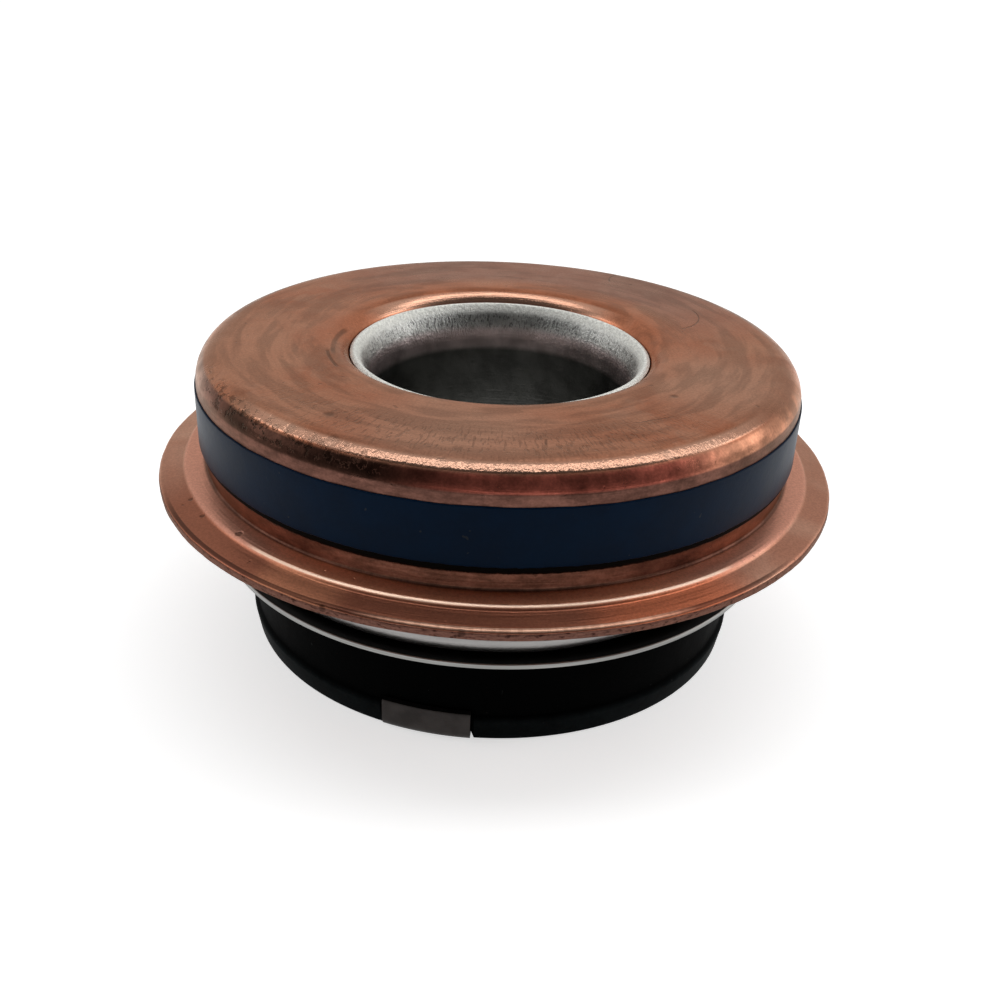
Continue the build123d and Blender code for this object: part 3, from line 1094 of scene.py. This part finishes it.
def make_sleeve_steel():
    """Satin stainless tube, scored on its flare, grey at the tabs, with painted light and shade."""
    steel = Finish("sleeve_stainless", Metallic=1.0)
    z, r = steel.height, steel.radius
    scored = steel.noise(steel.rolled(70.0, 2.2, 2.2), 1.0, 3.0, 0.7)
    turned_marks = steel.noise(steel.rolled(4.0, 6.0, 6.0), 1.0, 2.0, 0.6)
    grain = steel.noise(steel.place, 6.0, 3.0, 0.7)
    cloudy = steel.noise(steel.place, 0.7, 3.0, 0.6)
    # Inside, the bore is painted darker, as shade
    tone = steel.colour(steel.rise(z, flare_start - 0.5, flare_start), bore_shade_steel, throat_steel)
    tone = steel.colour(steel.rise(z, flare_start + 0.8, flare_start + 1.4), tone, flare_steel)
    foot = steel.both(steel.rise(z, tab_height + 0.4, tab_height + 0.2), steel.rise(r, 9.0, 9.5))
    tone = steel.colour(foot, tone, tab_steel)
    pitted = steel.both(
        steel.rise(scored, 0.5, 0.62), steel.band(z, flare_start + 1.1, flare_top - 0.5, 0.3)
    )
    tone = steel.shade(tone, 1.0, 0.4, pitted)
    tone = steel.shade(tone, 0.8, 1.15, steel.clear(cloudy))
    # Painted shade on the back of the flare
    shaded = steel.both(
        steel.facing(92.0, 22.0, 50.0), steel.band(z, flare_start + 1.3, flare_top - 0.55, 0.3)
    )
    tone = steel.shade(tone, 1.0, 0.7, shaded)
    # Painted highlight round the flare's rim
    rim_highlight = steel.rise(z, flare_top - 0.8, flare_top - 0.3)
    tone = steel.colour(rim_highlight, tone, steel.shade(rim_highlight_steel, 0.75, 1.05, steel.clear(grain)))
    rough = steel.amount(foot, steel.amount(cloudy, 0.26, 0.4), 0.5)
    rough = steel.amount(rim_highlight, rough, 0.62)
    flare = steel.rise(z, flare_start, flare_start + 1.2)
    relief = steel.bump(grain, 0.01)
    relief = steel.bump(steel.both(steel.math("ADD", scored, grain), flare), 0.03, relief)
    relief = steel.bump(turned_marks, 0.008, relief)
    return steel.show(Base_Color=tone, Roughness=rough, Normal=relief)


def make_pressed_steel():
    """Pressed stainless sheet with faint drawing lines, and painted shade on its brim."""
    steel = Finish("pressed_stainless", Metallic=1.0)
    drawn = steel.noise(steel.rolled(3.0, 7.0, 7.0), 1.0, 3.0, 0.6)
    grain = steel.noise(steel.place, 5.0, 2.0, 0.6)
    edge = steel.rise(steel.radius, brim_r - cut_edge_r * 1.5, brim_r - cut_edge_r / 2)
    # Painted shade on the brim
    brim = steel.rise(steel.radius, retainer_wall_r + 0.2, retainer_wall_r + 0.5)
    tone = steel.colour(edge, steel.colour(brim, sheet_steel, brim_shade_steel), edge_steel)
    tone = steel.shade(tone, 0.8, 1.15, steel.clear(drawn))
    rough = steel.amount(grain, 0.28, 0.42)
    relief = steel.bump(drawn, 0.01, steel.bump(grain, 0.005))
    return steel.show(Base_Color=tone, Roughness=rough, Normal=relief)


def make_wire_steel():
    """Drawn spring wire, satin with fine pits."""
    steel = Finish("spring_wire", Metallic=1.0)
    drawn = steel.noise(steel.rolled(5.0, 8.0, 8.0), 1.0, 2.0, 0.6)
    grain = steel.noise(steel.place, 6.0, 3.0, 0.6)
    tone = steel.shade(steel.colour(drawn, wire_dark, wire_light), 0.85, 1.1, grain)
    rough = steel.amount(grain, 0.3, 0.45)
    return steel.show(Base_Color=tone, Roughness=rough, Normal=steel.bump(grain, 0.01))


def make_cup_rubber():
    """Black moulded rubber, a little greyer round its bead."""
    rubber = Finish("cup_rubber", Specular_IOR_Level=0.009)
    z = rubber.height
    mottle = rubber.noise(rubber.place, 0.8, 4.0, 0.65)
    grain = rubber.noise(rubber.place, 8.0, 2.0, 0.6)
    bead = rubber.rise(z, cup_bead_height + cup_bead, cup_bead_height - 0.1)
    tone = rubber.colour(bead, rubber_black, rubber_grey)
    tone = rubber.shade(tone, 0.6, 1.5, rubber.clear(mottle))
    dust = rubber.rise(rubber.noise(rubber.place, 3.0, 0.0), 0.83, 0.86)
    tone = rubber.colour(rubber.both(dust, 0.4), tone, speck_grey)
    rough = rubber.amount(mottle, 0.42, 0.6)
    relief = rubber.bump(mottle, 0.03, rubber.bump(grain, 0.006))
    return rubber.show(Base_Color=tone, Roughness=rough, Normal=relief)


def make_bellows_rubber():
    """Black moulded rubber with a dusting of talc."""
    rubber = Finish("bellows_rubber", Specular_IOR_Level=0.3)
    mottle = rubber.noise(rubber.place, 0.9, 4.0, 0.65)
    grain = rubber.noise(rubber.place, 8.0, 2.0, 0.6)
    tone = rubber.colour(rubber.rise(mottle, 0.45, 0.75), rubber_black, talc_grey)
    relief = rubber.bump(mottle, 0.03, rubber.bump(grain, 0.006))
    return rubber.show(Base_Color=tone, Roughness=rubber.amount(mottle, 0.5, 0.7), Normal=relief)


def make_carbon():
    """Pressed carbon, machined with fine turning lines."""
    carbon = Finish("carbon", Specular_IOR_Level=0.5)
    lines = carbon.noise(carbon.rolled(2.0, 10.0, 10.0), 1.0, 2.0, 0.5)
    grain = carbon.noise(carbon.place, 6.0, 3.0, 0.7)
    tone = carbon.colour(carbon.rise(grain, 0.35, 0.65), carbon_black, carbon_grey)
    relief = carbon.bump(lines, 0.01, carbon.bump(grain, 0.006))
    return carbon.show(Base_Color=tone, Roughness=carbon.amount(grain, 0.3, 0.5), Normal=relief)


def make_ceramic():
    """Hard grey ceramic: ground sides and a lapped running face."""
    ceramic = Finish("hard_ceramic", Specular_IOR_Level=0.6)
    lines = ceramic.noise(ceramic.rolled(3.0, 9.0, 9.0), 1.0, 2.0, 0.5)
    grain = ceramic.noise(ceramic.place, 5.0, 3.0, 0.7)
    lapped = ceramic.rise(ceramic.height, running_face - 0.02, running_face - 0.005)
    tone = ceramic.colour(ceramic.clear(grain), ceramic_dark, ceramic_light)
    rough = ceramic.amount(lapped, ceramic.amount(grain, 0.35, 0.5), 0.12)
    relief = ceramic.bump(lines, 0.006, ceramic.bump(grain, 0.004))
    return ceramic.show(Base_Color=tone, Roughness=rough, Normal=relief)


# ------------------------------------------------------------------------- stage


def make_camera():
    """A close view from above, a little to the right of a drive tab."""
    distance = 71.5 * MM
    round_z = radians(12.4)
    elevation = radians(19.74)
    aim_down = radians(7.9)
    aim_right = radians(0.29)
    roll = radians(2.34)
    data = bpy.data.cameras.new("camera")
    data.sensor_width = 36.0
    data.lens = 41.72
    data.clip_start = 0.002
    data.clip_end = 10.0
    camera = put("camera", data)
    back = Vector((
        cos(elevation) * sin(round_z),
        -cos(elevation) * cos(round_z),
        sin(elevation),
    ))
    place = Matrix.Translation(Vector((0, 0, casing_top * MM)) + back * distance)
    turn = Matrix.Rotation(round_z, 4, "Z")
    turn = turn @ Matrix.Rotation(pi / 2 - elevation - aim_down, 4, "X")
    turn = turn @ Matrix.Rotation(-aim_right, 4, "Y")
    turn = turn @ Matrix.Rotation(roll, 4, "Z")
    camera.matrix_world = place @ turn
    bpy.context.scene.camera = camera


def make_floor():
    """Plain pale floor, which is lifted to white away from the seal's shadow."""
    bm = bmesh.new()
    bmesh.ops.create_grid(bm, x_segments=1, y_segments=1, size=floor_half_width)
    floor = put_mesh("floor", bm)
    pale = Finish("pale_floor", Roughness=1.0, Specular_IOR_Level=0.0)
    pale.shader.inputs["Base Color"].default_value = (0.8, 0.8, 0.8, 1)
    path = pale.add("ShaderNodeLightPath", {}).outputs
    seen = pale.math("MAXIMUM", path["Is Camera Ray"], path["Is Glossy Ray"])
    seen = pale.math("MAXIMUM", seen, path["Is Transmission Ray"])
    outwards = pale.rise(pale.radius, lift_near_r, lift_far_r)
    lift = pale.amount(outwards, floor_lift_near, floor_lift_far)
    pale.shader.inputs["Emission Color"].default_value = (1, 1, 1, 1)
    floor.data.materials.append(pale.show(Emission_Strength=pale.both(seen, lift)))


def make_lamp(name, place, size, power, turn=0.0):
    """A soft rectangular lamp, aimed at the middle of the closed end and turned round its aim."""
    data = bpy.data.lights.new(name, "AREA")
    data.shape = "RECTANGLE"
    data.size, data.size_y = size
    data.energy = power
    lamp = put(name, data)
    lamp.location = place
    aim = Vector((0, 0, casing_top * MM)) - Vector(place)
    lamp.rotation_mode = "QUATERNION"
    swing = Vector((0, 0, -1)).rotation_difference(aim)
    lamp.rotation_quaternion = swing @ Quaternion((0, 0, 1), turn)


def make_world():
    """Even white room, darker in front of the seal, where no lamp stands."""
    world = bpy.data.worlds.new("studio")
    bpy.context.scene.world = world
    world.use_nodes = True
    nodes = Nodes(world.node_tree)
    way = nodes.add("ShaderNodeTexCoord", {}).outputs["Generated"]
    inputs = {
        "Value": nodes.vector("DOT_PRODUCT", way, dark_way, out="Value"),
        "From Min": dark_start,
        "From Max": dark_full,
        "To Min": room_light,
        "To Max": front_light,
    }
    level = nodes.add("ShaderNodeMapRange", inputs, interpolation_type="SMOOTHSTEP").outputs[0]
    background = nodes.tree.nodes["Background"]
    background.inputs["Color"].default_value = (1, 1, 1, 1)
    nodes.tree.links.new(level, background.inputs["Strength"])


make_camera()
make_world()
make_floor()
# Each lamp's place and size are in metres and its power in watts.
make_lamp("overhead", (0.024, 0.024, 0.3), (0.475, 0.09), 0.285, radians(19.0))
make_lamp("left", (-0.27, -0.057, 0.14), (0.11, 0.11), 0.08)
make_lamp("right", (0.25, 0.09, 0.125), (0.12, 0.12), 0.11)

pressed_steel = make_pressed_steel()
make_casing(make_copper())
make_sealant_band(make_sealant())
make_sleeve(make_sleeve_steel())
make_cup(make_cup_rubber())
make_mating_ring(make_ceramic())
make_face_ring(make_carbon())
make_retainer(pressed_steel)
make_spring_seat(pressed_steel)
coils = make_spring(make_wire_steel())
bellows = make_bellows(make_bellows_rubber())
# The upper ends ride on the casing and the lower ends on the head.
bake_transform(coils)
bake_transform(bellows)

bpy.context.scene.view_settings.view_transform = "Standard"
